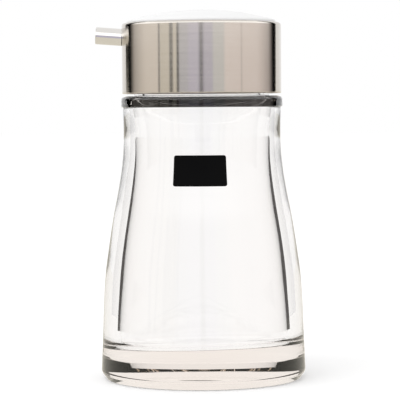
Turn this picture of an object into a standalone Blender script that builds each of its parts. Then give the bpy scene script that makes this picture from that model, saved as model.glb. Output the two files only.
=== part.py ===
"""Soy sauce dispenser: a pressed glass bottle under a screw cap that holds a steel collar,
a side nozzle and a silicone dome to press.

Lengths are in metres and +Z is up. The bottle stands on Z = 0 with its axis on Z.
The nozzle points along -X and the label faces -Y.
"""

import math

import bmesh
import bpy
from mathutils import Vector

# Facets and curve steps
ROUND_SEGMENTS = 48
INNER_SEGMENTS = 40
PIPE_SEGMENTS = 20
DRILL_SEGMENTS = 12
FILLET_STEPS = 3
FLANK_STEPS = 2
HOLLOW_STEPS = 1
DOME_STEPS = 6
PUNT_STEPS = 3
SMOOTH_ANGLE = math.radians(35)
WELD_DISTANCE = 1e-6
# Largest fillet that is drawn as one facet, and the share of a side that a fillet may take
FINE_ROUND = 0.0005
FILLET_ROOM = 0.6

# Gap kept between neighbours that touch, and how far a drill runs past a wall
FIT_GAP = 0.0003
DRILL_OVERRUN = 0.002
JOIN_OVERLAP = 0.0006

# Bottle, outside
BASE_RADIUS = 0.03245
HEEL_WIDTH = 0.0017
HEEL_HEIGHT = 0.0022
HEEL_ROUND = 0.0024
FOOT_ROUND = 0.0004
PUNT_RADIUS = 0.0225
PUNT_DEPTH = 0.0018
WAIST_RADIUS = 0.0248
SHOULDER_HEIGHT = 0.0892
SHOULDER_DEPTH = 0.0034
SHOULDER_STEP = 0.0003
SHOULDER_ROUND = 0.0020
STEP_ROUND = 0.0001
# Height shares of the flank below the shoulder ring, and shares of the way from waist to base radius
FLANK_SHARES = (
    (0.156, 0.935),
    (0.267, 0.889),
    (0.380, 0.810),
    (0.480, 0.660),
    (0.587, 0.471),
    (0.690, 0.248),
    (0.780, 0.085),
    (0.873, 0.000),
    (0.975, 0.040),
)

# Bottle, neck and mouth
NECK_RADIUS = 0.0213
NECK_HEIGHT = 0.0115
NECK_WALL = 0.0030
NECK_ROOT_ROUND = 0.0005
MOUTH_ROUND = 0.0009
THREAD_DEPTH = 0.0010

# Bottle, inside
SOLE_THICKNESS = 0.0096
FLOOR_ROUND = 0.0030
FOOT_WALL = 0.00565
WAIST_WALL = 0.0037
THROAT_RISE = 0.0006
THROAT_LENGTH = 0.0036
THROAT_BORE = 0.02235
THROAT_ROUND = 0.0008
# Height shares as above, and shares of the way from the bore at the waist to the bore at the foot
HOLLOW_SHARES = (
    (0.186, 0.975),
    (0.274, 0.885),
    (0.361, 0.760),
    (0.450, 0.635),
    (0.540, 0.460),
    (0.630, 0.240),
    (0.716, 0.080),
    (0.790, 0.000),
    (0.872, 0.004),
    (0.902, 0.035),
    (0.937, 0.110),
    (0.972, 0.180),
    (0.997, 0.210),
)

# Label
LABEL_WIDTH = 0.01635
LABEL_HEIGHT = 0.00945
LABEL_CORNER = 0.0007
LABEL_THICKNESS = 0.0002
LABEL_CENTRE = 0.0663
LABEL_TURN = math.radians(-1.6)
LABEL_ROWS = 4
LABEL_COLUMNS = 8
CORNER_STEPS = 3

# Mouth gasket
GASKET_THICKNESS = 0.0012
GASKET_OVERHANG = 0.0003
GASKET_ROUND = 0.0003

# Inner cap
SKIRT_WALL = 0.0014
SKIRT_ROUND = 0.0003
DECK_THICKNESS = 0.0017
CHAMBER_HEIGHT = 0.0062
CHAMBER_WALL = 0.0017
CHAMBER_ROUND = 0.0008
RIB_COUNT = 12
RIB_DEPTH = 0.0004
RIB_WIDTH = 0.0012
DECK_RIB_HEIGHT = 0.0012
DECK_RIB_WIDTH = 0.0009
HUB_RADIUS = 0.0040
VENT_ANGLES = (math.radians(-30), 0.0, math.radians(30))
VENT_INSET = 0.0043
VENT_RADIUS = 0.0010
DUCT_INSET = 0.0023
DUCT_RADIUS = 0.0015
DUCT_WALL = 0.0014
BARREL_WALL = 0.0006
TOWER_CROWN = 0.0004

# Collar
COLLAR_SHEET = 0.0005
COLLAR_LIFT = 0.0008
COLLAR_LIP = 0.0014
COLLAR_HEM = 0.0010
COLLAR_TOP_ROUND = 0.0012
COLLAR_FOOT_ROUND = 0.0004
COLLAR_EDGE_ROUND = 0.0002

# Push dome
DOME_RISE = 0.0042
DOME_EDGE_RISE = 0.0008
DOME_EDGE_ROUND = 0.0009
DOME_WALL = 0.0012
DOME_FLANGE = 0.0007
FLANGE_ROUND = 0.0002

# Nozzle and its washer
NOZZLE_RADIUS = 0.0027
NOZZLE_WALL = 0.0007
NOZZLE_REACH = 0.0082
NOZZLE_TILT = math.radians(4.3)
NOZZLE_DROP = 0.0025
NOZZLE_SINK = 0.0002
NOZZLE_EDGE_ROUND = 0.0002
NOZZLE_COUNTERBORE = 0.0050
SPIGOT_RADIUS = 0.0017
SPIGOT_LENGTH = 0.0072
SPIGOT_BORE = 0.0010
WASHER_THICKNESS = 0.0008
WASHER_ROUND = 0.0002

# Heights on the bottle, from the table
FLANK_TOP = SHOULDER_HEIGHT - SHOULDER_DEPTH
MOUTH_RADIUS = NECK_RADIUS - NECK_WALL
WAIST_BORE = WAIST_RADIUS - WAIST_WALL
FOOT_BORE = BASE_RADIUS - FOOT_WALL
THROAT_TOP = SHOULDER_HEIGHT + THROAT_RISE
THROAT_FOOT = THROAT_TOP - THROAT_LENGTH

# Radii of the closure, from the neck outwards
SKIRT_BORE = NECK_RADIUS + THREAD_DEPTH + FIT_GAP
CAP_RADIUS = SKIRT_BORE + SKIRT_WALL
RIB_RADIUS = CAP_RADIUS + RIB_DEPTH
COLLAR_BORE = RIB_RADIUS + FIT_GAP
COLLAR_RADIUS = COLLAR_BORE + COLLAR_SHEET
SHOULDER_RADIUS = COLLAR_RADIUS + SHOULDER_STEP
LIP_RADIUS = COLLAR_RADIUS - COLLAR_LIP
HEM_RADIUS = COLLAR_RADIUS - COLLAR_HEM
CHAMBER_RADIUS = CAP_RADIUS - CHAMBER_WALL
VENT_CIRCLE = MOUTH_RADIUS - VENT_INSET
DUCT_CENTRE = MOUTH_RADIUS - DUCT_INSET
DOME_RADIUS = LIP_RADIUS - FIT_GAP
FLANGE_RADIUS = COLLAR_BORE - FIT_GAP - FIT_GAP

# Heights in the closure, from the glass shoulder upwards
SKIRT_FOOT = COLLAR_LIFT + COLLAR_SHEET + FIT_GAP
GASKET_FOOT = NECK_HEIGHT + FIT_GAP
DECK_FOOT = GASKET_FOOT + GASKET_THICKNESS + FIT_GAP
DECK_TOP = DECK_FOOT + DECK_THICKNESS
CHAMBER_TOP = DECK_TOP + CHAMBER_HEIGHT
FLANGE_FOOT = CHAMBER_TOP + FIT_GAP
FLANGE_TOP = FLANGE_FOOT + DOME_FLANGE
LIP_FOOT = FLANGE_TOP + FIT_GAP
COLLAR_TOP = LIP_FOOT + COLLAR_SHEET
NOZZLE_HEIGHT = CHAMBER_TOP - NOZZLE_DROP

# Distances along the nozzle from the collar's face, outwards
WASHER_TOP = -NOZZLE_SINK - FIT_GAP
WASHER_FOOT = WASHER_TOP - WASHER_THICKNESS
SEAT_DEPTH = WASHER_FOOT - FIT_GAP
SPIGOT_END = -NOZZLE_SINK - SPIGOT_LENGTH
DUCT_REACH = -(COLLAR_RADIUS - DUCT_CENTRE) / math.cos(NOZZLE_TILT)
SEAT_BORE = NOZZLE_RADIUS + FIT_GAP
SPIGOT_HOLE = SPIGOT_RADIUS + FIT_GAP
BARREL_RADIUS = SPIGOT_HOLE + BARREL_WALL
TOWER_RADIUS = DUCT_RADIUS + DUCT_WALL


def clear_scene():
    for item in list(bpy.data.objects):
        bpy.data.objects.remove(item, do_unlink=True)


def make_material(name, colour, roughness, metallic=0.0, transmission=0.0):
    material = bpy.data.materials.new(name)
    material.use_nodes = True
    shader = material.node_tree.nodes["Principled BSDF"]
    shader.inputs["Base Color"].default_value = (*colour, 1.0)
    shader.inputs["Roughness"].default_value = roughness
    shader.inputs["Metallic"].default_value = metallic
    shader.inputs["Transmission Weight"].default_value = transmission
    material.diffuse_color = (*colour, 1.0)
    return material


def add_guide(name, location, parent=None, tilt=0.0):
    guide = bpy.data.objects.new(name, None)
    guide.location = location
    guide.rotation_euler = (0.0, tilt, 0.0)
    guide.parent = parent
    bpy.context.collection.objects.link(guide)
    return guide


def add_object(name, mesh_builder, parent, material=None):
    bmesh.ops.recalc_face_normals(mesh_builder, faces=mesh_builder.faces)
    mesh = bpy.data.meshes.new(name)
    mesh_builder.to_mesh(mesh)
    mesh_builder.free()
    mesh.shade_smooth()
    mesh.set_sharp_from_angle(angle=SMOOTH_ANGLE)
    piece = bpy.data.objects.new(name, mesh)
    piece.parent = parent
    bpy.context.collection.objects.link(piece)
    if material:
        mesh.materials.append(material)
    else:
        piece.hide_render = True
        piece.display_type = "WIRE"
    return piece


def add_boolean(piece, operation, tool):
    modifier = piece.modifiers.new(f"{operation.lower()} {tool.name}", "BOOLEAN")
    modifier.operation = operation
    modifier.solver = "EXACT"
    modifier.object = tool


def fillet(before, corner, after, radius):
    """Points of the arc of the given radius that rounds one corner of an outline."""
    towards_before = before - corner
    towards_after = after - corner
    half_angle = towards_before.angle(towards_after) / 2
    room = min(towards_before.length, towards_after.length) * FILLET_ROOM
    setback = min(radius / math.tan(half_angle), room)
    radius = setback * math.tan(half_angle)
    towards_before.normalize()
    towards_after.normalize()
    middle = (towards_before + towards_after).normalized()
    centre = corner + middle * (radius / math.sin(half_angle))
    start = corner + towards_before * setback - centre
    end = corner + towards_after * setback - centre
    sweep = start.angle_signed(end)
    steps = 1 if radius <= FINE_ROUND else FILLET_STEPS
    points = []
    for step in range(steps + 1):
        angle = sweep * step / steps
        turned = Vector((
            start.x * math.cos(angle) + start.y * math.sin(angle),
            start.y * math.cos(angle) - start.x * math.sin(angle),
        ))
        points.append(centre + turned)
    return points


def soften(corners):
    """Outline of (radius, height, fillet) corners with each fillet drawn as an arc."""
    places = [Vector(corner[:2]) for corner in corners]
    outline = []
    for index, (_, _, radius) in enumerate(corners):
        if radius > 0:
            before = places[index - 1]
            after = places[(index + 1) % len(places)]
            outline.extend(fillet(before, places[index], after, radius))
        else:
            outline.append(places[index])
    return outline


def curve_through(points, steps):
    """Smooth curve through the points, with the given steps to each span."""
    curve = []
    for index in range(len(points) - 1):
        first, second = points[index], points[index + 1]
        before = points[max(index - 1, 0)]
        after = points[min(index + 2, len(points) - 1)]
        leave = (second - before) / 2
        arrive = (after - first) / 2
        for step in range(steps):
            t = step / steps
            curve.append(
                first * (2 * t**3 - 3 * t**2 + 1)
                + leave * (t**3 - 2 * t**2 + t)
                + second * (3 * t**2 - 2 * t**3)
                + arrive * (t**3 - t**2)
            )
    curve.append(points[-1])
    return curve


def turn(outline, segments):
    """Solid of revolution about Z. An outline that starts on the axis is open, any other is a ring."""
    solid = bmesh.new()
    points = [solid.verts.new((point[0], 0.0, point[1])) for point in outline]
    pairs = list(zip(points, points[1:]))
    if outline[0][0] > 0:
        pairs.append((points[-1], points[0]))
    edges = [solid.edges.new(pair) for pair in pairs]
    bmesh.ops.spin(
        solid,
        geom=points + edges,
        cent=(0, 0, 0),
        axis=(0, 0, 1),
        angle=math.tau,
        steps=segments,
        use_merge=True,
    )
    bmesh.ops.remove_doubles(solid, verts=solid.verts, dist=WELD_DISTANCE)
    return solid


def drill(radius, foot, top, segments):
    """Plain round bar about Z, from foot to top."""
    return turn(((0.0, foot), (radius, foot), (radius, top), (0.0, top)), segments)


def flank():
    """Outside of the bottle from the heel up to the shoulder ring."""
    points = [Vector((BASE_RADIUS, HEEL_HEIGHT))]
    for height_share, radius_share in FLANK_SHARES:
        radius = WAIST_RADIUS + radius_share * (BASE_RADIUS - WAIST_RADIUS)
        points.append(Vector((radius, height_share * FLANK_TOP)))
    return curve_through(points, FLANK_STEPS)


def hollow():
    """Inside of the bottle from the foot up to the throat."""
    points = []
    for height_share, radius_share in HOLLOW_SHARES:
        radius = WAIST_BORE + radius_share * (FOOT_BORE - WAIST_BORE)
        points.append(Vector((radius, height_share * FLANK_TOP)))
    return curve_through(points, HOLLOW_STEPS)


def punt():
    """Shallow dish under the bottle, from the axis to its rim."""
    points = []
    for step in range(PUNT_STEPS):
        share = step / PUNT_STEPS
        points.append((PUNT_RADIUS * share, PUNT_DEPTH * (1 - share**2), 0.0))
    return points


def build_bottle(parent):
    outside = flank()
    inside = hollow()
    flank_end = outside[-1].x
    mouth_height = SHOULDER_HEIGHT + NECK_HEIGHT
    corners = punt()
    corners.append((PUNT_RADIUS, 0.0, FOOT_ROUND))
    corners.append((BASE_RADIUS - HEEL_WIDTH, 0.0, FOOT_ROUND))
    corners.append((BASE_RADIUS, HEEL_HEIGHT, HEEL_ROUND))
    corners.extend((point.x, point.y, 0.0) for point in outside[1:])
    corners.append((flank_end, FLANK_TOP, 0.0))
    corners.append((SHOULDER_RADIUS, FLANK_TOP, STEP_ROUND))
    corners.append((SHOULDER_RADIUS, SHOULDER_HEIGHT, SHOULDER_ROUND))
    corners.append((NECK_RADIUS, SHOULDER_HEIGHT, NECK_ROOT_ROUND))
    corners.append((NECK_RADIUS, mouth_height, MOUTH_ROUND))
    corners.append((MOUTH_RADIUS, mouth_height, MOUTH_ROUND))
    corners.append((MOUTH_RADIUS, THROAT_TOP, THROAT_ROUND))
    corners.append((THROAT_BORE, THROAT_FOOT, THROAT_ROUND))
    corners.extend((point.x, point.y, 0.0) for point in reversed(inside))
    corners.append((FOOT_BORE, SOLE_THICKNESS, FLOOR_ROUND))
    corners.append((0.0, SOLE_THICKNESS, 0.0))
    material = make_material("pressed glass", (0.96, 0.98, 0.95), 0.02, transmission=1.0)
    add_object("glass_bottle", turn(soften(corners), ROUND_SEGMENTS), parent, material)


def flank_radius(height):
    """Radius of the bottle's outside at a height on its flank."""
    points = flank()
    for lower, upper in zip(points, points[1:]):
        if lower.y <= height <= upper.y:
            share = (height - lower.y) / (upper.y - lower.y)
            return lower.x + share * (upper.x - lower.x)
    return points[-1].x


def label_columns():
    """Places across the label, and the label's half height at each."""
    straight = LABEL_WIDTH / 2 - LABEL_CORNER
    columns = []
    for step in range(LABEL_COLUMNS + 1):
        columns.append((straight * (2 * step / LABEL_COLUMNS - 1), LABEL_HEIGHT / 2))
    for step in range(1, CORNER_STEPS + 1):
        angle = math.pi / 2 * step / CORNER_STEPS
        reach = straight + LABEL_CORNER * math.sin(angle)
        half_height = LABEL_HEIGHT / 2 - LABEL_CORNER * (1 - math.cos(angle))
        columns.append((reach, half_height))
        columns.insert(0, (-reach, half_height))
    return columns


def build_label(parent):
    centre_radius = flank_radius(LABEL_CENTRE)
    solid = bmesh.new()
    layers = []
    for offset in (FIT_GAP, FIT_GAP + LABEL_THICKNESS):
        grid = []
        for across, half_height in label_columns():
            angle = LABEL_TURN + across / centre_radius
            column = []
            for row in range(LABEL_ROWS + 1):
                height = LABEL_CENTRE + half_height * (2 * row / LABEL_ROWS - 1)
                radius = flank_radius(height) + offset
                place = (radius * math.sin(angle), -radius * math.cos(angle), height)
                column.append(solid.verts.new(place))
            grid.append(column)
        layers.append(grid)
    for grid in layers:
        for left, right in zip(grid, grid[1:]):
            for row in range(LABEL_ROWS):
                solid.faces.new((left[row], right[row], right[row + 1], left[row + 1]))
    rims = []
    for grid in layers:
        rim = [column[0] for column in grid]
        rim += grid[-1][1:]
        rim += [column[-1] for column in reversed(grid[:-1])]
        rim += grid[0][-2:0:-1]
        rims.append(rim)
    back, front = rims
    for index in range(len(back)):
        solid.faces.new((back[index - 1], back[index], front[index], front[index - 1]))
    material = make_material("black label film", (0.012, 0.012, 0.013), 0.35)
    add_object("front_label", solid, parent, material)


def build_gasket(parent):
    inner = MOUTH_RADIUS - GASKET_OVERHANG
    outer = SKIRT_BORE - FIT_GAP
    top = GASKET_FOOT + GASKET_THICKNESS
    corners = (
        (inner, GASKET_FOOT, GASKET_ROUND),
        (outer, GASKET_FOOT, GASKET_ROUND),
        (outer, top, GASKET_ROUND),
        (inner, top, GASKET_ROUND),
    )
    material = make_material("translucent silicone", (0.86, 0.87, 0.86), 0.45)
    add_object("mouth_gasket", turn(soften(corners), INNER_SEGMENTS), parent, material)


def cap_body():
    """Threaded skirt, deck and chamber wall of the inner cap, in one moulding."""
    corners = (
        (0.0, DECK_FOOT, 0.0),
        (SKIRT_BORE, DECK_FOOT, SKIRT_ROUND),
        (SKIRT_BORE, SKIRT_FOOT, SKIRT_ROUND),
        (CAP_RADIUS, SKIRT_FOOT, SKIRT_ROUND),
        (CAP_RADIUS, CHAMBER_TOP, SKIRT_ROUND),
        (CHAMBER_RADIUS, CHAMBER_TOP, SKIRT_ROUND),
        (CHAMBER_RADIUS, DECK_TOP, CHAMBER_ROUND),
        (0.0, DECK_TOP, 0.0),
    )
    return turn(soften(corners), INNER_SEGMENTS)


def add_bar(solid, angle, near, far, width, foot, top):
    """Rectangular bar that runs outwards from near to far at an angle about Z."""
    outwards = Vector((math.cos(angle), math.sin(angle), 0.0))
    sideways = Vector((-outwards.y, outwards.x, 0.0)) * (width / 2)
    rings = []
    for height in (foot, top):
        lift = Vector((0.0, 0.0, height))
        inner = outwards * near + lift
        outer = outwards * far + lift
        places = (inner - sideways, outer - sideways, outer + sideways, inner + sideways)
        rings.append([solid.verts.new(place) for place in places])
    lower, upper = rings
    solid.faces.new(reversed(lower))
    solid.faces.new(upper)
    for index in range(len(lower)):
        solid.faces.new((lower[index - 1], lower[index], upper[index], upper[index - 1]))


def cap_ribs():
    """Upright ribs that key the cap into the collar, and radial ribs that stiffen the deck."""
    solid = bmesh.new()
    for index in range(RIB_COUNT):
        angle = math.tau * (index + 0.5) / RIB_COUNT
        key_foot = SKIRT_FOOT + CHAMBER_ROUND
        key_top = CHAMBER_TOP - CHAMBER_ROUND
        add_bar(solid, angle, CAP_RADIUS - JOIN_OVERLAP, RIB_RADIUS, RIB_WIDTH, key_foot, key_top)
        rib_foot = DECK_TOP - JOIN_OVERLAP
        rib_top = DECK_TOP + DECK_RIB_HEIGHT
        rib_end = CHAMBER_RADIUS + JOIN_OVERLAP
        add_bar(solid, angle, HUB_RADIUS, rib_end, DECK_RIB_WIDTH, rib_foot, rib_top)
    return solid


def vent_drills():
    """Air holes through the deck, on the side away from the nozzle."""
    solid = bmesh.new()
    foot = DECK_FOOT - DRILL_OVERRUN
    top = DECK_TOP + DRILL_OVERRUN
    for angle in VENT_ANGLES:
        centre = Vector((math.cos(angle), math.sin(angle), 0.0)) * VENT_CIRCLE
        hole = drill(VENT_RADIUS, foot, top, DRILL_SEGMENTS)
        bmesh.ops.translate(hole, vec=centre, verts=hole.verts)
        mesh = bpy.data.meshes.new("vent hole")
        hole.to_mesh(mesh)
        hole.free()
        solid.from_mesh(mesh)
        bpy.data.meshes.remove(mesh)
    return solid


def build_inner_cap(parent, nozzle_axis, nozzle_drill):
    material = make_material("white polypropylene", (0.88, 0.88, 0.86), 0.4)
    cap = add_object("inner_cap", cap_body(), parent, material)
    duct_fall = (COLLAR_RADIUS - DUCT_CENTRE) * math.tan(NOZZLE_TILT)
    duct_height = NOZZLE_HEIGHT - duct_fall
    tower_top = duct_height + BARREL_RADIUS + TOWER_CROWN
    tower = add_object(
        "tower tool", drill(TOWER_RADIUS, DECK_TOP - JOIN_OVERLAP, tower_top, PIPE_SEGMENTS), parent
    )
    wall_reach = -(COLLAR_RADIUS - CHAMBER_RADIUS - JOIN_OVERLAP) / math.cos(NOZZLE_TILT)
    barrel = add_object(
        "barrel tool", drill(BARREL_RADIUS, DUCT_REACH, wall_reach, PIPE_SEGMENTS), nozzle_axis
    )
    duct = add_object(
        "duct tool", drill(DUCT_RADIUS, DECK_FOOT - DRILL_OVERRUN, duct_height, DRILL_SEGMENTS), parent
    )
    for upright in (tower, duct):
        upright.location.x = -DUCT_CENTRE
    add_boolean(cap, "UNION", add_object("cap rib tool", cap_ribs(), parent))
    add_boolean(cap, "UNION", tower)
    add_boolean(cap, "UNION", barrel)
    add_boolean(cap, "DIFFERENCE", duct)
    add_boolean(cap, "DIFFERENCE", nozzle_drill)
    add_boolean(cap, "DIFFERENCE", add_object("vent tool", vent_drills(), parent))


def build_collar(parent, nozzle_drill):
    corners = (
        (HEM_RADIUS, COLLAR_LIFT, COLLAR_EDGE_ROUND),
        (COLLAR_RADIUS, COLLAR_LIFT, COLLAR_FOOT_ROUND),
        (COLLAR_RADIUS, COLLAR_TOP, COLLAR_TOP_ROUND),
        (LIP_RADIUS, COLLAR_TOP, COLLAR_EDGE_ROUND),
        (LIP_RADIUS, LIP_FOOT, COLLAR_EDGE_ROUND),
        (COLLAR_BORE, LIP_FOOT, COLLAR_TOP_ROUND - COLLAR_SHEET),
        (COLLAR_BORE, COLLAR_LIFT + COLLAR_SHEET, COLLAR_EDGE_ROUND),
        (HEM_RADIUS, COLLAR_LIFT + COLLAR_SHEET, COLLAR_EDGE_ROUND),
    )
    material = make_material("satin steel", (0.62, 0.59, 0.55), 0.28, metallic=1.0)
    collar = add_object("collar_shell", turn(soften(corners), ROUND_SEGMENTS), parent, material)
    add_boolean(collar, "DIFFERENCE", nozzle_drill)


def crown(radius, centre_height, edge):
    """Points of a shallow round crown, from its edge radius to the axis."""
    points = []
    for step in range(DOME_STEPS, -1, -1):
        reach = edge * step / DOME_STEPS
        points.append((reach, centre_height + math.sqrt(radius**2 - reach**2)))
    return points


def build_dome(parent):
    sagitta = DOME_RISE - DOME_EDGE_RISE
    crown_radius = (DOME_RADIUS**2 + sagitta**2) / (2 * sagitta)
    crown_centre = COLLAR_TOP + DOME_RISE - crown_radius
    inner_radius = DOME_RADIUS - DOME_WALL
    outside = crown(crown_radius, crown_centre, DOME_RADIUS)
    inside = crown(crown_radius - DOME_WALL, crown_centre, inner_radius)
    corners = [(reach, height, 0.0) for reach, height in reversed(outside[1:])]
    corners.append((*outside[0], DOME_EDGE_ROUND))
    corners.append((DOME_RADIUS, FLANGE_TOP, FLANGE_ROUND))
    corners.append((FLANGE_RADIUS, FLANGE_TOP, FLANGE_ROUND))
    corners.append((FLANGE_RADIUS, FLANGE_FOOT, FLANGE_ROUND))
    corners.append((inner_radius, FLANGE_FOOT, FLANGE_ROUND))
    corners.append((*inside[0], DOME_EDGE_ROUND))
    corners.extend((reach, height, 0.0) for reach, height in inside[1:])
    material = make_material("white silicone", (0.87, 0.87, 0.87), 0.55)
    add_object("push_dome", turn(soften(corners), ROUND_SEGMENTS), parent, material)


def build_nozzle(parent):
    mouth_bore = NOZZLE_RADIUS - NOZZLE_WALL
    step_depth = NOZZLE_REACH - NOZZLE_COUNTERBORE
    corners = (
        (mouth_bore, NOZZLE_REACH, NOZZLE_EDGE_ROUND),
        (NOZZLE_RADIUS, NOZZLE_REACH, NOZZLE_EDGE_ROUND),
        (NOZZLE_RADIUS, -NOZZLE_SINK, NOZZLE_EDGE_ROUND),
        (SPIGOT_RADIUS, -NOZZLE_SINK, 0.0),
        (SPIGOT_RADIUS, SPIGOT_END, NOZZLE_EDGE_ROUND),
        (SPIGOT_BORE, SPIGOT_END, 0.0),
        (SPIGOT_BORE, step_depth - (mouth_bore - SPIGOT_BORE), 0.0),
        (mouth_bore, step_depth, 0.0),
    )
    material = make_material("polished steel", (0.72, 0.70, 0.67), 0.12, metallic=1.0)
    add_object("nozzle_tube", turn(soften(corners), PIPE_SEGMENTS), parent, material)


def build_washer(parent):
    corners = (
        (SPIGOT_HOLE, WASHER_FOOT, WASHER_ROUND),
        (NOZZLE_RADIUS, WASHER_FOOT, WASHER_ROUND),
        (NOZZLE_RADIUS, WASHER_TOP, WASHER_ROUND),
        (SPIGOT_HOLE, WASHER_TOP, WASHER_ROUND),
    )
    material = make_material("grey silicone", (0.30, 0.30, 0.30), 0.5)
    add_object("nozzle_washer", turn(soften(corners), PIPE_SEGMENTS), parent, material)


def add_nozzle_drill(parent):
    """Stepped drill for the washer's seat and the spigot's hole, as far as the duct."""
    outline = (
        (0.0, NOZZLE_REACH),
        (SEAT_BORE, NOZZLE_REACH),
        (SEAT_BORE, SEAT_DEPTH),
        (SPIGOT_HOLE, SEAT_DEPTH),
        (SPIGOT_HOLE, DUCT_REACH),
        (0.0, DUCT_REACH),
    )
    return add_object("nozzle drill tool", turn(outline, PIPE_SEGMENTS), parent)


def main():
    clear_scene()
    bottle_axis = add_guide("bottle_axis", (0.0, 0.0, 0.0))
    cap_axis = add_guide("cap_axis", (0.0, 0.0, SHOULDER_HEIGHT), bottle_axis)
    nozzle_axis = add_guide(
        "nozzle_axis", (-COLLAR_RADIUS, 0.0, NOZZLE_HEIGHT), cap_axis, NOZZLE_TILT - math.pi / 2
    )
    nozzle_drill = add_nozzle_drill(nozzle_axis)
    build_bottle(bottle_axis)
    build_label(bottle_axis)
    build_gasket(cap_axis)
    build_inner_cap(cap_axis, nozzle_axis, nozzle_drill)
    build_collar(cap_axis, nozzle_drill)
    build_dome(cap_axis)
    build_nozzle(nozzle_axis)
    build_washer(nozzle_axis)


main()
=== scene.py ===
"""Looks of a soy sauce dispenser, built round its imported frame.

A clear pressed glass bottle stands on a pale floor. A moulded inner cap under a satin steel collar
closes it, with a soft white dome to press on top and a short polished tube at the side.
Lengths are in metres, +Z is up, the tube points along -X and the label faces -Y.
"""

import math

import bmesh
import bpy
from mathutils import Matrix, Vector


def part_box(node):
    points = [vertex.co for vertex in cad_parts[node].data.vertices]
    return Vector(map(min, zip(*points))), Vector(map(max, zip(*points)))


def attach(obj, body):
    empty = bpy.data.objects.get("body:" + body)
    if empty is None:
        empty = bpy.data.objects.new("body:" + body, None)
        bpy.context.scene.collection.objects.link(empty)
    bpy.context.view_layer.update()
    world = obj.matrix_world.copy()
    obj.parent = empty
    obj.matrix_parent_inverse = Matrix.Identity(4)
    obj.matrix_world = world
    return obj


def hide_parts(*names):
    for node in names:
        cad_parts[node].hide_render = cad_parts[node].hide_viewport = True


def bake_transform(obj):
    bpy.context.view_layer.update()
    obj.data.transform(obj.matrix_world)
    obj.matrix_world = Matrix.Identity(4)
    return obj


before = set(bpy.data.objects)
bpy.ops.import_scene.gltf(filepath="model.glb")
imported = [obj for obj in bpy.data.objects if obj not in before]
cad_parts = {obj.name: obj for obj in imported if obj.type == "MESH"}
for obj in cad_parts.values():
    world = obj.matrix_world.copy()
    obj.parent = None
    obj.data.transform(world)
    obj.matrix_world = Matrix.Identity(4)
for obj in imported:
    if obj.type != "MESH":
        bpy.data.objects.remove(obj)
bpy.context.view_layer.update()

# Steps of the turned and swept shapes
GLASS_STEPS = 240
ROUND_STEPS = 192
PIPE_STEPS = 64
FILLET_STEPS = 7
FILLET_ROOM = 0.6
FILLET_HOLD = 0.00002
CURVE_STEPS = 6
WELD_DISTANCE = 1e-7
SHARP_ANGLE = math.radians(40)

# Places read from the frame
BOTTLE_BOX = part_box("glass_bottle")
GASKET_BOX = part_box("mouth_gasket")
COLLAR_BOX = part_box("collar_shell")
DOME_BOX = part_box("push_dome")
BASE_RADIUS = BOTTLE_BOX[1].y
MOUTH_HEIGHT = BOTTLE_BOX[1].z
COLLAR_RADIUS = COLLAR_BOX[1].y
COLLAR_FOOT = COLLAR_BOX[0].z
COLLAR_TOP = COLLAR_BOX[1].z

# Bottle, outside
HEEL_WIDTH = 0.0017
HEEL_HEIGHT = 0.0022
HEEL_TOP_ROUND = 0.0024
HEEL_FOOT_ROUND = 0.0001
PUNT_RADIUS = 0.0225
PUNT_DEPTH = 0.0018
WAIST_RADIUS = 0.0248
SHOULDER_RADIUS = 0.0255
SHOULDER_HEIGHT = MOUTH_HEIGHT - 0.0115
SHOULDER_DEPTH = 0.0034
SHOULDER_ROUND = 0.0013
STEP_ROUND = 0.00012
FLANK_SHARES = (
    (0.156, 0.935),
    (0.267, 0.889),
    (0.380, 0.810),
    (0.480, 0.660),
    (0.587, 0.471),
    (0.690, 0.248),
    (0.780, 0.085),
    (0.873, 0.000),
    (0.975, 0.020),
)

# Bottle, neck and mouth
NECK_RADIUS = 0.0213
MOUTH_RADIUS = 0.0183
NECK_ROOT_ROUND = 0.0002
MOUTH_ROUND = 0.0009
NECK_ROWS = 70
THREAD_DEPTH = 0.0009
THREAD_PITCH = 0.0127 / 3
THREAD_WIDTH = 0.0019
THREAD_TURNS = 1.3
THREAD_FADE = math.radians(25)
THREAD_CREST = 0.7
NECK_THREAD_START = SHOULDER_HEIGHT + 0.0036

# Bottle, inside
SOLE_THICKNESS = 0.0096
FLOOR_ROUND = 0.0030
# The mould leaves the inner floor higher in front and on the right: rise per metre from the axis
FLOOR_RISE_FRONT = 0.072
FLOOR_RISE_RIGHT = 0.023
# Height on the wall where that ends
FLOOR_RISE_END = 0.0200
FOOT_BORE = 0.02680
WAIST_BORE = 0.0211
THROAT_TOP = SHOULDER_HEIGHT - 0.0003
THROAT_LENGTH = 0.0032
THROAT_BORE = 0.02235
THROAT_ROUND = 0.0005
HOLLOW_SHARES = (
    (0.186, 0.975),
    (0.274, 0.885),
    (0.361, 0.760),
    (0.450, 0.635),
    (0.540, 0.460),
    (0.630, 0.240),
    (0.716, 0.080),
    (0.790, 0.000),
    (0.872, 0.004),
    (0.902, 0.035),
    (0.937, 0.110),
    (0.972, 0.180),
    (0.997, 0.210),
)

# Tint of the glass where it is thick
GLASS_BODY = (0.845, 0.717, 0.611, 1.0)
GLASS_DENSITY = 10.0

# Label
LABEL_WIDTH = 0.01635
LABEL_HEIGHT = 0.00945
LABEL_CORNER = 0.0007
LABEL_THICKNESS = 0.00012
LABEL_GAP = 0.00003
LABEL_CENTRE = 0.0663
LABEL_TURN = math.radians(-1.6)
LABEL_ROWS = 12
LABEL_COLUMNS = 24
CORNER_STEPS = 6

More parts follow.
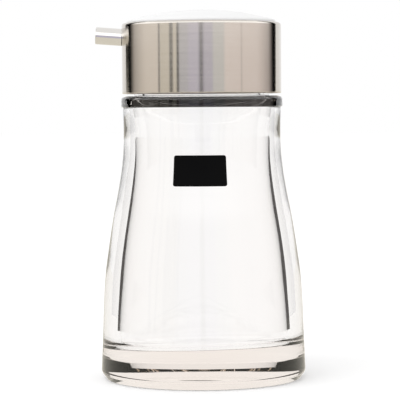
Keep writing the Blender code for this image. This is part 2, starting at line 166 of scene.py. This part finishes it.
# Collar and tube
SHEET = 0.0005
LIP_REACH = 0.0014
HEM_REACH = 0.0010
COLLAR_TOP_ROUND = 0.0012
COLLAR_FOOT_ROUND = 0.0004
EDGE_ROUND = 0.0002
TUBE_RADIUS = 0.0027
TUBE_WALL = 0.0007
TUBE_REACH = 0.0082
TUBE_TILT = math.radians(4.3)
TUBE_HEIGHT = 0.1079
TUBE_SINK = 0.0002
TUBE_COUNTERBORE = 0.0050
SPIGOT_RADIUS = 0.0017
SPIGOT_LENGTH = 0.0072
SPIGOT_BORE = 0.0010
TUBE_CLEARANCE = 0.00012
CUT_OVERRUN = 0.0010
WASHER_THICKNESS = 0.0008
WASHER_GAP = 0.0003

# Dome
DOME_RADIUS = 0.0235
DOME_EDGE_RISE = 0.0008
DOME_EDGE_ROUND = 0.0009
DOME_WALL = 0.0012
DOME_FLANGE = 0.0007
DOME_STEPS = 24

# Moulded finishes: dark tone, light tone, roughness, grain
# Gasket: its near-black tones are painted shade, standing in for the little light that reaches it between
# the glass mouth and the collar
GASKET_PAINTED_SHADE = ((0.018, 0.018, 0.020), (0.030, 0.030, 0.032), 0.45, 0.2)
# Inner cap: its near-black tones are painted shade for the dark inside of the collar seen through the
# glass; the frame lists this cap as white polypropylene
CAP_PLASTIC_PAINTED_SHADE = ((0.018, 0.018, 0.020), (0.030, 0.030, 0.032), 0.42, 0.3)
WHITE_SILICONE = ((0.82, 0.82, 0.82), (0.85, 0.85, 0.85), 0.5, 0.25)
GREY_SILICONE = ((0.26, 0.26, 0.26), (0.32, 0.32, 0.32), 0.5, 0.2)
ROUGHNESS_SPREAD = 0.05


class Value:
    """Number or colour that a node gives. Operators on it add Math nodes."""

    def __init__(self, graph, socket):
        self.graph = graph
        self.socket = socket

    def math(self, operation, first, second=0.0):
        return self.graph.add("ShaderNodeMath", {"operation": operation}, {0: first, 1: second})

    def __add__(self, other):
        return self.math("ADD", self, other)

    def __sub__(self, other):
        return self.math("SUBTRACT", self, other)

    def __mul__(self, other):
        return self.math("MULTIPLY", self, other)

    def __rsub__(self, other):
        return self.math("SUBTRACT", other, self)

    __radd__ = __add__
    __rmul__ = __mul__

    def above(self, limit):
        return self.math("GREATER_THAN", self, limit)

    def size(self):
        return self.math("ABSOLUTE", self)

    def step(self, low, high, start=0.0, end=1.0):
        """Smooth step from start at the low value to end at the high one."""
        settings = {"interpolation_type": "SMOOTHSTEP"}
        return self.graph.add("ShaderNodeMapRange", settings, {0: self, 1: low, 2: high, 3: start, 4: end})


class Graph:
    """Node tree of a material or of the world."""

    def __init__(self, owner):
        owner.use_nodes = True
        self.tree = owner.node_tree
        self.tree.nodes.clear()

    def add(self, kind, settings, sockets, output=0):
        """Adds a node of a kind and gives one of its outputs. Settings come first, then its sockets'
        values or links."""
        node = self.tree.nodes.new(kind)
        for name, setting in settings.items():
            setattr(node, name, setting)
        for name, given in sockets.items():
            if isinstance(given, Value):
                self.tree.links.new(given.socket, node.inputs[name])
            else:
                node.inputs[name].default_value = given
        return Value(self, node.outputs[output])

    def place(self):
        """Position on the object, in metres."""
        return self.add("ShaderNodeTexCoord", {}, {}, "Object")

    def noise(self, place, scale, detail=2.0, roughness=0.5):
        sockets = {"Vector": place, "Scale": scale, "Detail": detail, "Roughness": roughness}
        return self.add("ShaderNodeTexNoise", {}, sockets)

    def stretched(self, place, factors):
        """Position with each axis scaled by its own factor."""
        return self.add("ShaderNodeVectorMath", {"operation": "MULTIPLY"}, {0: place, 1: factors})

    def tint(self, mask, first, second):
        """Mix of two colours by a mask."""
        colours = [given if isinstance(given, Value) else (*given, 1.0) for given in (first, second)]
        return self.add("ShaderNodeMix", {"data_type": "RGBA"}, {0: mask, 6: colours[0], 7: colours[1]}, 2)

    def bump(self, height, strength, distance):
        sockets = {"Height": height, "Strength": strength, "Distance": distance}
        return self.add("ShaderNodeBump", {}, sockets)

    def part(self, vector, axis):
        """One axis of a vector."""
        return self.add("ShaderNodeSeparateXYZ", {}, {0: vector}, axis)

    def path(self, kind):
        """What Light Path says of the ray."""
        return self.add("ShaderNodeLightPath", {}, {}, kind)

    def surface(self, sockets):
        self.show(self.add("ShaderNodeBsdfPrincipled", {}, sockets))

    def show(self, shader, kind="ShaderNodeOutputMaterial", socket="Surface"):
        """Links a shader to the output, which is added at first use."""
        outputs = [node for node in self.tree.nodes if node.bl_idname == kind]
        output = outputs[0] if outputs else self.tree.nodes.new(kind)
        self.tree.links.new(shader.socket, output.inputs[socket])

    def fill(self, kind, sockets):
        """Gives a clear body its inside."""
        self.show(self.add(kind, {}, sockets), socket="Volume")


def new_graph(name):
    """New material and its graph."""
    material = bpy.data.materials.new(name)
    return material, Graph(material)


def make_glass():
    """Clear pressed glass with the faint ripple of its mould."""
    material, graph = new_graph("pressed_glass")
    ripple = graph.noise(graph.stretched(graph.place(), (1.0, 1.0, 0.35)), 70.0, 1.0)
    graph.surface({
        "Base Color": (1.0, 1.0, 1.0, 1.0),
        "Roughness": 0.0,
        "IOR": 1.51,
        "Transmission Weight": 1.0,
        "Normal": graph.bump(ripple, 0.12, 0.0006),
    })
    graph.fill("ShaderNodeVolumeAbsorption", {"Color": GLASS_BODY, "Density": GLASS_DENSITY})
    return material


def make_label_film():
    """Black film with a faint orange peel."""
    material, graph = new_graph("label_film")
    place = graph.place()
    peel = graph.noise(place, 1800.0, 1.0)
    wear = graph.noise(place, 220.0, 3.0)
    graph.surface({
        "Base Color": graph.tint(wear, (0.0010, 0.0010, 0.0011), (0.0022, 0.0022, 0.0024)),
        "Roughness": wear.step(0.3, 0.7, 0.34, 0.46),
        "Specular IOR Level": 0.05,
        "Normal": graph.bump(peel, 0.1, 0.0001),
    })
    return material


def make_collar_steel():
    """Satin steel with fine turned lines round it."""
    material, graph = new_graph("satin_steel")
    place = graph.place()
    lines = graph.noise(graph.stretched(place, (60.0, 60.0, 9000.0)), 1.0, 3.0)
    cloud = graph.noise(place, 90.0, 3.0)
    graph.surface({
        "Base Color": graph.tint(cloud, (0.600, 0.560, 0.510), (0.640, 0.605, 0.565)),
        "Metallic": 1.0,
        "Roughness": lines.step(0.2, 0.8, 0.12, 0.19),
        "Anisotropic": 0.95,
        "Anisotropic Rotation": 0.25,
        "Normal": graph.bump(lines, 0.06, 0.00002),
    })
    return material


def make_tube_steel():
    """Polished steel with the light marks of the lathe round it."""
    material, graph = new_graph("polished_steel")
    place = graph.place()
    lines = graph.noise(graph.stretched(place, (100.0, 100.0, 12000.0)), 1.0, 2.0)
    cloud = graph.noise(place, 300.0, 2.0)
    graph.surface({
        "Base Color": graph.tint(cloud, (0.740, 0.715, 0.680), (0.780, 0.760, 0.735)),
        "Metallic": 1.0,
        "Roughness": lines.step(0.2, 0.8, 0.07, 0.13),
        "Normal": graph.bump(lines, 0.05, 0.00001),
    })
    return material


def make_moulded(name, dark, light, roughness, grain):
    """Moulded plastic or rubber with a fine spark-eroded grain."""
    material, graph = new_graph(name)
    place = graph.place()
    cloud = graph.noise(place, 120.0, 3.0)
    spark = graph.noise(place, 4200.0, 2.0)
    graph.surface({
        "Base Color": graph.tint(cloud, dark, light),
        "Roughness": cloud.step(0.3, 0.7, roughness - ROUGHNESS_SPREAD, roughness + ROUGHNESS_SPREAD),
        "Normal": graph.bump(spark, grain, 0.00003),
    })
    return material


def fillet(before, corner, after, radius):
    """Points of the arc of the given radius that rounds one corner of an outline."""
    towards_before = before - corner
    towards_after = after - corner
    half_angle = towards_before.angle(towards_after) / 2
    room = min(towards_before.length, towards_after.length) * FILLET_ROOM
    setback = min(radius / math.tan(half_angle), room)
    radius = setback * math.tan(half_angle)
    towards_before.normalize()
    towards_after.normalize()
    middle = (towards_before + towards_after).normalized()
    centre = corner + middle * (radius / math.sin(half_angle))
    start = corner + towards_before * setback - centre
    end = corner + towards_after * setback - centre
    sweep = start.angle_signed(end)
    points = [centre + start + towards_before * FILLET_HOLD]
    for step in range(FILLET_STEPS + 1):
        points.append(centre + Matrix.Rotation(-sweep * step / FILLET_STEPS, 2) @ start)
    points.append(centre + end + towards_after * FILLET_HOLD)
    return points


def soften(corners):
    """Outline of (radius, height, fillet) corners with each fillet drawn as an arc."""
    places = [Vector(corner[:2]) for corner in corners]
    outline = []
    for index, (_, _, radius) in enumerate(corners):
        if radius > 0:
            before = places[index - 1]
            after = places[(index + 1) % len(places)]
            outline.extend(fillet(before, places[index], after, radius))
        else:
            outline.append(places[index])
    return outline


def curve_through(points, steps):
    """Smooth curve through the points, with the given steps to each span."""
    curve = []
    for index in range(len(points) - 1):
        first, second = points[index], points[index + 1]
        before = points[max(index - 1, 0)]
        after = points[min(index + 2, len(points) - 1)]
        leave = (second - before) / 2
        arrive = (after - first) / 2
        for step in range(steps):
            t = step / steps
            curve.append(
                first * (2 * t**3 - 3 * t**2 + 1)
                + leave * (t**3 - 2 * t**2 + t)
                + second * (3 * t**2 - 2 * t**3)
                + arrive * (t**3 - t**2)
            )
    curve.append(points[-1])
    return curve


def turned(name, outline, steps, shift=None):
    """Solid of revolution about Z. shift(radius, height, angle) gives the point's own radius and height.
    An outline that starts on the axis is open, any other is a ring."""
    solid = bmesh.new()
    rings = []
    for radius, height in outline:
        if radius <= 0:
            rings.append([solid.verts.new((0.0, 0.0, height))] * steps)
            continue
        ring = []
        for step in range(steps):
            angle = math.tau * step / steps
            reach, level = shift(radius, height, angle) if shift else (radius, height)
            ring.append(solid.verts.new((reach * math.cos(angle), reach * math.sin(angle), level)))
        rings.append(ring)
    pairs = list(zip(rings, rings[1:]))
    if outline[0][0] > 0:
        pairs.append((rings[-1], rings[0]))
    for lower, upper in pairs:
        for step in range(steps):
            corners = (lower[step - 1], lower[step], upper[step], upper[step - 1])
            solid.faces.new(list(dict.fromkeys(corners)))
    bmesh.ops.recalc_face_normals(solid, faces=solid.faces)
    return new_piece(name, solid)


def new_piece(name, solid):
    """Object of a finished bmesh, shaded smooth."""
    mesh = bpy.data.meshes.new(name)
    solid.to_mesh(mesh)
    solid.free()
    mesh.shade_smooth()
    piece = bpy.data.objects.new(name, mesh)
    bpy.context.scene.collection.objects.link(piece)
    return piece


def finish_piece(piece, material, slot, body, *nodes):
    """Gives a piece its material, seats it on its body and hides the nodes it stands for. The slot is not
    used.
    """
    piece.data.materials.clear()
    piece.data.materials.append(material)
    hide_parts(*nodes)
    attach(piece, body)


def flank():
    """Outside of the bottle from the heel up to the shoulder ring."""
    top = SHOULDER_HEIGHT - SHOULDER_DEPTH
    points = [Vector((BASE_RADIUS, HEEL_HEIGHT))]
    for height_share, radius_share in FLANK_SHARES:
        radius = WAIST_RADIUS + radius_share * (BASE_RADIUS - WAIST_RADIUS)
        points.append(Vector((radius, height_share * top)))
    return curve_through(points, CURVE_STEPS)


def hollow():
    """Inside of the bottle from the foot up to the throat."""
    top = SHOULDER_HEIGHT - SHOULDER_DEPTH
    points = []
    for height_share, radius_share in HOLLOW_SHARES:
        radius = WAIST_BORE + radius_share * (FOOT_BORE - WAIST_BORE)
        points.append(Vector((radius, height_share * top)))
    return curve_through(points, CURVE_STEPS)


def ridge(height, angle, start):
    """Share of the thread's depth at a place on a screw that starts at a height and climbs as it turns."""
    depth = 0.0
    for turn in range(math.ceil(THREAD_TURNS)):
        run = angle + math.tau * turn
        off_centre = abs(height - start - THREAD_PITCH * run / math.tau) / (THREAD_WIDTH / 2)
        to_end = min(run, THREAD_TURNS * math.tau - run) / THREAD_FADE
        if off_centre < 1 and to_end > 0:
            depth = max(depth, math.cos(off_centre * math.pi / 2) ** THREAD_CREST * min(to_end, 1.0))
    return depth


def shape_glass(radius, height, angle):
    """Adds the neck's thread and the uneven inner floor to the turned bottle."""
    if radius <= FOOT_BORE and SOLE_THICKNESS - WELD_DISTANCE < height < FLOOR_RISE_END:
        share = (FLOOR_RISE_END - height) / (FLOOR_RISE_END - SOLE_THICKNESS)
        rise = FLOOR_RISE_RIGHT * math.cos(angle) - FLOOR_RISE_FRONT * math.sin(angle)
        return radius, height + share * rise * radius
    if abs(radius - NECK_RADIUS) < WELD_DISTANCE and height > SHOULDER_HEIGHT + NECK_ROOT_ROUND:
        return radius + THREAD_DEPTH * ridge(height, angle, NECK_THREAD_START), height
    return radius, height


def build_bottle(glass):
    outside = flank()
    corners = []
    for step in range(CURVE_STEPS):
        share = step / CURVE_STEPS
        corners.append((PUNT_RADIUS * share, PUNT_DEPTH * (1 - share**2), 0.0))
    corners.append((PUNT_RADIUS, 0.0, HEEL_FOOT_ROUND))
    corners.append((BASE_RADIUS - HEEL_WIDTH, 0.0, HEEL_FOOT_ROUND))
    corners.append((BASE_RADIUS, HEEL_HEIGHT, HEEL_TOP_ROUND))
    corners.extend((point.x, point.y, 0.0) for point in outside[2:])
    corners.append((outside[-1].x, SHOULDER_HEIGHT - SHOULDER_DEPTH, STEP_ROUND))
    corners.append((SHOULDER_RADIUS, SHOULDER_HEIGHT - SHOULDER_DEPTH, STEP_ROUND))
    corners.append((SHOULDER_RADIUS, SHOULDER_HEIGHT, SHOULDER_ROUND))
    corners.append((NECK_RADIUS, SHOULDER_HEIGHT, NECK_ROOT_ROUND))
    neck_length = MOUTH_HEIGHT - SHOULDER_HEIGHT
    for row in range(1, NECK_ROWS):
        height = SHOULDER_HEIGHT + NECK_ROOT_ROUND + (neck_length - 2 * MOUTH_ROUND) * row / NECK_ROWS
        corners.append((NECK_RADIUS, height, 0.0))
    corners.append((NECK_RADIUS, MOUTH_HEIGHT, MOUTH_ROUND))
    corners.append((MOUTH_RADIUS, MOUTH_HEIGHT, MOUTH_ROUND))
    corners.append((MOUTH_RADIUS, THROAT_TOP, THROAT_ROUND))
    corners.append((THROAT_BORE, THROAT_TOP - THROAT_LENGTH, THROAT_ROUND))
    corners.extend((point.x, point.y, 0.0) for point in reversed(hollow()))
    corners.append((FOOT_BORE, SOLE_THICKNESS, FLOOR_ROUND))
    corners.append((0.0, SOLE_THICKNESS, 0.0))
    bottle = turned("bottle", soften(corners), GLASS_STEPS, shape_glass)
    finish_piece(bottle, glass, "bottle_glass", "bottle", "glass_bottle")


def flank_radius(height):
    """Radius of the bottle's outside at a height on its flank."""
    points = flank()
    for lower, upper in zip(points, points[1:]):
        if lower.y <= height <= upper.y:
            share = (height - lower.y) / (upper.y - lower.y)
            return lower.x + share * (upper.x - lower.x)
    return points[-1].x


def label_columns():
    """Places across the label, and the label's half height at each."""
    straight = LABEL_WIDTH / 2 - LABEL_CORNER
    columns = []
    for step in range(LABEL_COLUMNS + 1):
        columns.append((straight * (2 * step / LABEL_COLUMNS - 1), LABEL_HEIGHT / 2))
    for step in range(1, CORNER_STEPS + 1):
        angle = math.pi / 2 * step / CORNER_STEPS
        reach = straight + LABEL_CORNER * math.sin(angle)
        half_height = LABEL_HEIGHT / 2 - LABEL_CORNER * (1 - math.cos(angle))
        columns.append((reach, half_height))
        columns.insert(0, (-reach, half_height))
    return columns


def label_layer(solid, offset):
    """Grid of points of the label at a distance from the glass, column by column."""
    centre_radius = flank_radius(LABEL_CENTRE)
    grid = []
    for across, half_height in label_columns():
        angle = LABEL_TURN + across / centre_radius
        column = []
        for row in range(LABEL_ROWS + 1):
            height = LABEL_CENTRE + half_height * (2 * row / LABEL_ROWS - 1)
            radius = flank_radius(height) + offset
            column.append(solid.verts.new((radius * math.sin(angle), -radius * math.cos(angle), height)))
        grid.append(column)
    return grid


def label_rim(grid):
    """Points round the edge of a layer."""
    rim = [column[0] for column in grid]
    rim += grid[-1][1:]
    rim += [column[-1] for column in reversed(grid[:-1])]
    rim += grid[0][-2:0:-1]
    return rim


def build_label(film):
    solid = bmesh.new()
    back = label_layer(solid, LABEL_GAP)
    front = label_layer(solid, LABEL_GAP + LABEL_THICKNESS)
    for grid in (back, front):
        for left, right in zip(grid, grid[1:]):
            for row in range(LABEL_ROWS):
                solid.faces.new((left[row], right[row], right[row + 1], left[row + 1]))
    back_rim, front_rim = label_rim(back), label_rim(front)
    for index in range(len(back_rim)):
        corners = (back_rim[index - 1], back_rim[index], front_rim[index], front_rim[index - 1])
        solid.faces.new(corners)
    bmesh.ops.recalc_face_normals(solid, faces=solid.faces)
    label = new_piece("label", solid)
    label.data.set_sharp_from_angle(angle=SHARP_ANGLE)
    finish_piece(label, film, "label_film", "bottle", "front_label")


def build_gasket(rubber):
    low, high = GASKET_BOX
    inner = MOUTH_RADIUS - EDGE_ROUND
    corners = (
        (inner, low.z, EDGE_ROUND),
        (high.y, low.z, EDGE_ROUND),
        (high.y, high.z, EDGE_ROUND),
        (inner, high.z, EDGE_ROUND),
    )
    gasket = turned("gasket", soften(corners), ROUND_STEPS)
    finish_piece(gasket, rubber, "gasket_silicone", "gasket", "mouth_gasket")


def tube_frame():
    """Place and direction of the tube, with its own Z out of its mouth."""
    place = Matrix.Translation((-COLLAR_RADIUS, 0.0, TUBE_HEIGHT))
    return place @ Matrix.Rotation(TUBE_TILT - math.pi / 2, 4, "Y")


def cut(piece, tool):
    """Takes the tool's shape out of a piece for good."""
    modifier = piece.modifiers.new("cut", "BOOLEAN")
    modifier.operation = "DIFFERENCE"
    modifier.solver = "EXACT"
    modifier.object = tool
    seen = piece.evaluated_get(bpy.context.evaluated_depsgraph_get())
    mesh = bpy.data.meshes.new_from_object(seen)
    piece.modifiers.clear()
    piece.data = mesh
    bpy.data.objects.remove(tool)


def build_collar(steel):
    bore = COLLAR_RADIUS - SHEET
    lip = COLLAR_RADIUS - LIP_REACH
    hem = COLLAR_RADIUS - HEM_REACH
    corners = (
        (hem, COLLAR_FOOT, EDGE_ROUND),
        (COLLAR_RADIUS, COLLAR_FOOT, COLLAR_FOOT_ROUND),
        (COLLAR_RADIUS, COLLAR_TOP, COLLAR_TOP_ROUND),
        (lip, COLLAR_TOP, EDGE_ROUND),
        (lip, COLLAR_TOP - SHEET, EDGE_ROUND),
        (bore, COLLAR_TOP - SHEET, COLLAR_TOP_ROUND - SHEET),
        (bore, COLLAR_FOOT + SHEET, EDGE_ROUND),
        (hem, COLLAR_FOOT + SHEET, EDGE_ROUND),
    )
    collar = turned("collar", soften(corners), ROUND_STEPS)
    hole_radius = TUBE_RADIUS + TUBE_CLEARANCE
    outline = (
        (0.0, -SHEET - CUT_OVERRUN),
        (hole_radius, -SHEET - CUT_OVERRUN),
        (hole_radius, TUBE_REACH),
        (0.0, TUBE_REACH),
    )
    tool = turned("tube_hole", outline, PIPE_STEPS)
    tool.matrix_world = tube_frame()
    bpy.context.view_layer.update()
    cut(collar, tool)
    collar.data.set_sharp_from_angle(angle=SHARP_ANGLE)
    finish_piece(collar, steel, "collar_steel", "cap", "collar_shell")


def crown(radius, centre_height, edge):
    """Points of a shallow round crown, from its edge radius to the axis."""
    points = []
    for step in range(DOME_STEPS, -1, -1):
        reach = edge * step / DOME_STEPS
        points.append((reach, centre_height + math.sqrt(radius**2 - reach**2)))
    return points


def build_dome(rubber):
    low, high = DOME_BOX
    flange_top = low.z + DOME_FLANGE
    sagitta = high.z - COLLAR_TOP - DOME_EDGE_RISE
    crown_radius = (DOME_RADIUS**2 + sagitta**2) / (2 * sagitta)
    crown_centre = high.z - crown_radius
    inner_radius = DOME_RADIUS - DOME_WALL
    outside = crown(crown_radius, crown_centre, DOME_RADIUS)
    inside = crown(crown_radius - DOME_WALL, crown_centre, inner_radius)
    corners = [(reach, height, 0.0) for reach, height in reversed(outside[1:])]
    corners.append((*outside[0], DOME_EDGE_ROUND))
    corners.append((DOME_RADIUS, flange_top, EDGE_ROUND))
    corners.append((high.y, flange_top, EDGE_ROUND))
    corners.append((high.y, low.z, EDGE_ROUND))
    corners.append((inner_radius, low.z, EDGE_ROUND))
    corners.append((*inside[0], DOME_EDGE_ROUND))
    corners.extend((reach, height, 0.0) for reach, height in inside[1:])
    dome = turned("dome", soften(corners), ROUND_STEPS)
    dome.data.materials.append(rubber)
    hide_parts("push_dome")
    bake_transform(dome)


def build_tube(steel):
    mouth_bore = TUBE_RADIUS - TUBE_WALL
    step_depth = TUBE_REACH - TUBE_COUNTERBORE
    spigot_end = -TUBE_SINK - SPIGOT_LENGTH
    corners = (
        (mouth_bore, TUBE_REACH, EDGE_ROUND),
        (TUBE_RADIUS, TUBE_REACH, EDGE_ROUND),
        (TUBE_RADIUS, -TUBE_SINK, EDGE_ROUND),
        (SPIGOT_RADIUS, -TUBE_SINK, 0.0),
        (SPIGOT_RADIUS, spigot_end, EDGE_ROUND),
        (SPIGOT_BORE, spigot_end, 0.0),
        (SPIGOT_BORE, step_depth - (mouth_bore - SPIGOT_BORE), 0.0),
        (mouth_bore, step_depth, 0.0),
    )
    tube = turned("tube", soften(corners), PIPE_STEPS)
    tube.data.set_sharp_from_angle(angle=SHARP_ANGLE)
    tube.matrix_world = tube_frame()
    finish_piece(tube, steel, "nozzle_steel", "cap", "nozzle_tube")


def build_washer(rubber):
    inner = SPIGOT_RADIUS + WASHER_GAP
    top = -TUBE_SINK - WASHER_GAP
    corners = (
        (inner, top - WASHER_THICKNESS, EDGE_ROUND),
        (TUBE_RADIUS, top - WASHER_THICKNESS, EDGE_ROUND),
        (TUBE_RADIUS, top, EDGE_ROUND),
        (inner, top, EDGE_ROUND),
    )
    washer = turned("washer", soften(corners), PIPE_STEPS)
    washer.matrix_world = tube_frame()
    finish_piece(washer, rubber, "washer_silicone", "cap", "nozzle_washer")


# Studio
FLOOR_SIZE = 6.0
FLOOR_GAP = 0.0002
FLOOR_TONE = 0.88
FLOOR_GLOW = 0.20
FLOOR_WARMTH = (0.84, 0.80, 0.70)
LIGHT_LEVEL = 0.94
SCREEN_RADIUS = 0.32
SCREEN_STEPS = 96
# Height on the screen, and where it ends to the left and right there
SCREEN_ROWS = (
    (0.000, -126.5, 128.5),
    (0.085, -126.5, 128.5),
    (0.095, -137.0, 131.0),
    (0.420, -137.0, 131.0),
)
FLAG_FADE = (106.0, 122.0)
SIDE_FADE = (80.0, 112.0)
SIDE_DEPTH = 0.40
# Panels that steel mirrors: compass angle where each starts, and its tone
PANELS = (
    (None, (0.84, 0.77, 0.69)),
    (-61.0, (0.73, 0.68, 0.58)),
    (-33.0, (0.56, 0.56, 0.60)),
    (-20.0, (0.60, 0.58, 0.70)),
    (1.0, (0.55, 0.53, 0.63)),
    (14.0, (0.68, 0.68, 0.67)),
    (30.0, (0.88, 0.79, 0.75)),
)
PANEL_EDGE = 3.0
# Dark gaps between panels: compass angle, half width, soft edge, depth
GAPS = (
    (-61.0, 0.6, 1.6, 0.75),
    (-42.5, 1.8, 1.6, 0.80),
    (-32.8, 0.8, 1.6, 1.00),
    (-0.5, 0.8, 4.0, 0.75),
    (57.0, 0.5, 1.5, 0.25),
)
SOFT_BOX_START = (0.125, 0.170)
SOFT_BOX_LEVEL = 1.7
LAMP_PLACE = (-0.5, -0.5, 0.9)
LAMP_SIZE = 0.8
LAMP_POWER = 3.0


def compass(graph):
    """Angle round the bottle in degrees, 0 towards the camera and positive to its right."""
    place = graph.place()
    across, along = graph.part(place, 0), graph.part(place, 1)
    return across.math("ARCTAN2", across, 0.0 - along) * (180.0 / math.pi)


def build_floor():
    """Pale floor that is white to the camera and keeps the shadow."""
    solid = bmesh.new()
    bmesh.ops.create_grid(solid, x_segments=1, y_segments=1, size=FLOOR_SIZE)
    floor = new_piece("floor", solid)
    floor.location.z = -FLOOR_GAP
    material, graph = new_graph("pale_floor")
    matte = graph.add("ShaderNodeBsdfDiffuse", {}, {"Color": (FLOOR_TONE, FLOOR_TONE, FLOOR_TONE, 1.0)})
    glow = graph.add("ShaderNodeEmission", {}, {"Strength": graph.path("Is Camera Ray") * FLOOR_GLOW})
    lit = graph.add("ShaderNodeAddShader", {}, {0: matte, 1: glow})
    bent, glossy = graph.path("Is Transmission Ray"), graph.path("Is Glossy Ray")
    tone = graph.tint(bent, FLOOR_WARMTH, (1.0, 1.0, 1.0))
    plain = graph.add("ShaderNodeEmission", {}, {"Color": tone})
    graph.show(graph.add("ShaderNodeMixShader", {}, {0: (bent + glossy).above(0.5), 1: lit, 2: plain}))
    floor.data.materials.append(material)


def screen_tone(graph):
    """Colour of the screen: warm and cool panels, dark gaps, and fading flags at the back edges."""
    angle = compass(graph)
    tone = None
    for limit, colour in PANELS:
        if tone is None:
            tone = graph.tint(0.0, colour, colour)
        else:
            tone = graph.tint(angle.step(limit, limit + PANEL_EDGE), tone, colour)
    black = (0.0, 0.0, 0.0)
    for centre, half_width, edge, depth in GAPS:
        off = (angle - centre).size()
        tone = graph.tint(off.step(half_width, half_width + edge, depth, 0.0), tone, black)
    off = angle.size()
    tone = graph.tint(off.step(*SIDE_FADE, 0.0, SIDE_DEPTH), tone, black)
    return graph.tint(off.step(*FLAG_FADE), tone, black)


def build_screen():
    """Upright screen round the sides and front that only mirrored and bent light meets, with a
    soft box over it."""
    solid = bmesh.new()
    rows = []
    for up, first, last in SCREEN_ROWS:
        row = []
        for step in range(SCREEN_STEPS + 1):
            angle = math.radians(first + (last - first) * step / SCREEN_STEPS)
            across, along = SCREEN_RADIUS * math.sin(angle), -SCREEN_RADIUS * math.cos(angle)
            row.append(solid.verts.new((across, along, up)))
        rows.append(row)
    for lower, upper in zip(rows, rows[1:]):
        for step in range(SCREEN_STEPS):
            solid.faces.new((lower[step], lower[step + 1], upper[step + 1], upper[step]))
    screen = new_piece("screen", solid)
    screen.visible_camera = False
    screen.visible_diffuse = False
    screen.visible_shadow = False
    material, graph = new_graph("screen")
    height = graph.part(graph.place(), 2)
    lifted = height.step(*SOFT_BOX_START)
    near_front = compass(graph).size().step(*FLAG_FADE, 1.0, 0.0)
    soft_box = lifted * near_front
    tone = graph.tint(soft_box, screen_tone(graph), (1.0, 1.0, 1.0))
    strength = 1.0 + (SOFT_BOX_LEVEL - 1.0) * soft_box
    graph.show(graph.add("ShaderNodeEmission", {}, {"Color": tone, "Strength": strength}))
    screen.data.materials.append(material)


def build_world():
    """Even light on matt things, and white for the camera, metal and glass."""
    world = bpy.data.worlds.new("studio")
    bpy.context.scene.world = world
    graph = Graph(world)
    lit = (LIGHT_LEVEL, LIGHT_LEVEL, LIGHT_LEVEL)
    colour = graph.tint(graph.path("Is Diffuse Ray"), (1.0, 1.0, 1.0), lit)
    graph.show(graph.add("ShaderNodeBackground", {}, {"Color": colour}), "ShaderNodeOutputWorld")


def add_lamp(name, place, size, power):
    """Square soft box that faces the bottle and isn't seen or mirrored."""
    data = bpy.data.lights.new(name, "AREA")
    data.size = size
    data.energy = power
    lamp = bpy.data.objects.new(name, data)
    lamp.location = place
    target = Vector((0.0, 0.0, MOUTH_HEIGHT / 2))
    lamp.rotation_euler = (target - Vector(place)).to_track_quat("-Z", "Y").to_euler()
    lamp.visible_glossy = False
    lamp.visible_camera = False
    lamp.visible_transmission = False
    bpy.context.scene.collection.objects.link(lamp)


# Camera, with rows and columns of the photograph in pixels
PHOTO_SIDE = 400
FOCAL_PIXELS = 1943
HORIZON_ROW = 110
AXIS_COLUMN = 202.5
CAMERA_DISTANCE = 0.616
CAMERA_HEIGHT = 0.0848
CAMERA_ROLL = math.radians(0.4)


def build_camera():
    data = bpy.data.cameras.new("camera")
    data.lens = data.sensor_width * FOCAL_PIXELS / PHOTO_SIDE
    camera = bpy.data.objects.new("camera", data)
    bpy.context.scene.collection.objects.link(camera)
    pitch = math.atan((PHOTO_SIDE / 2 - HORIZON_ROW) / FOCAL_PIXELS)
    yaw = math.atan((AXIS_COLUMN - PHOTO_SIDE / 2) / FOCAL_PIXELS)
    camera.matrix_world = (
        Matrix.Translation((0.0, -CAMERA_DISTANCE, CAMERA_HEIGHT))
        @ Matrix.Rotation(yaw, 4, "Z")
        @ Matrix.Rotation(math.pi / 2 - pitch, 4, "X")
        @ Matrix.Rotation(-CAMERA_ROLL, 4, "Z")
    )
    bpy.context.scene.camera = camera


def main():
    bpy.context.scene.view_settings.view_transform = "Standard"
    build_camera()
    build_bottle(make_glass())
    build_label(make_label_film())
    # The gasket's near-black tone is painted shade
    build_gasket(make_moulded("gasket_painted_shade", *GASKET_PAINTED_SHADE))
    # The inner cap's near-black tone is painted shade, put on every slot of its part
    plastic = make_moulded("cap_plastic", *CAP_PLASTIC_PAINTED_SHADE)
    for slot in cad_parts["inner_cap"].material_slots:
        slot.material = plastic
    build_collar(make_collar_steel())
    build_dome(make_moulded("white_silicone", *WHITE_SILICONE))
    build_tube(make_tube_steel())
    build_washer(make_moulded("grey_silicone", *GREY_SILICONE))
    build_floor()
    build_screen()
    build_world()
    add_lamp("soft_box", LAMP_PLACE, LAMP_SIZE, LAMP_POWER)


main()
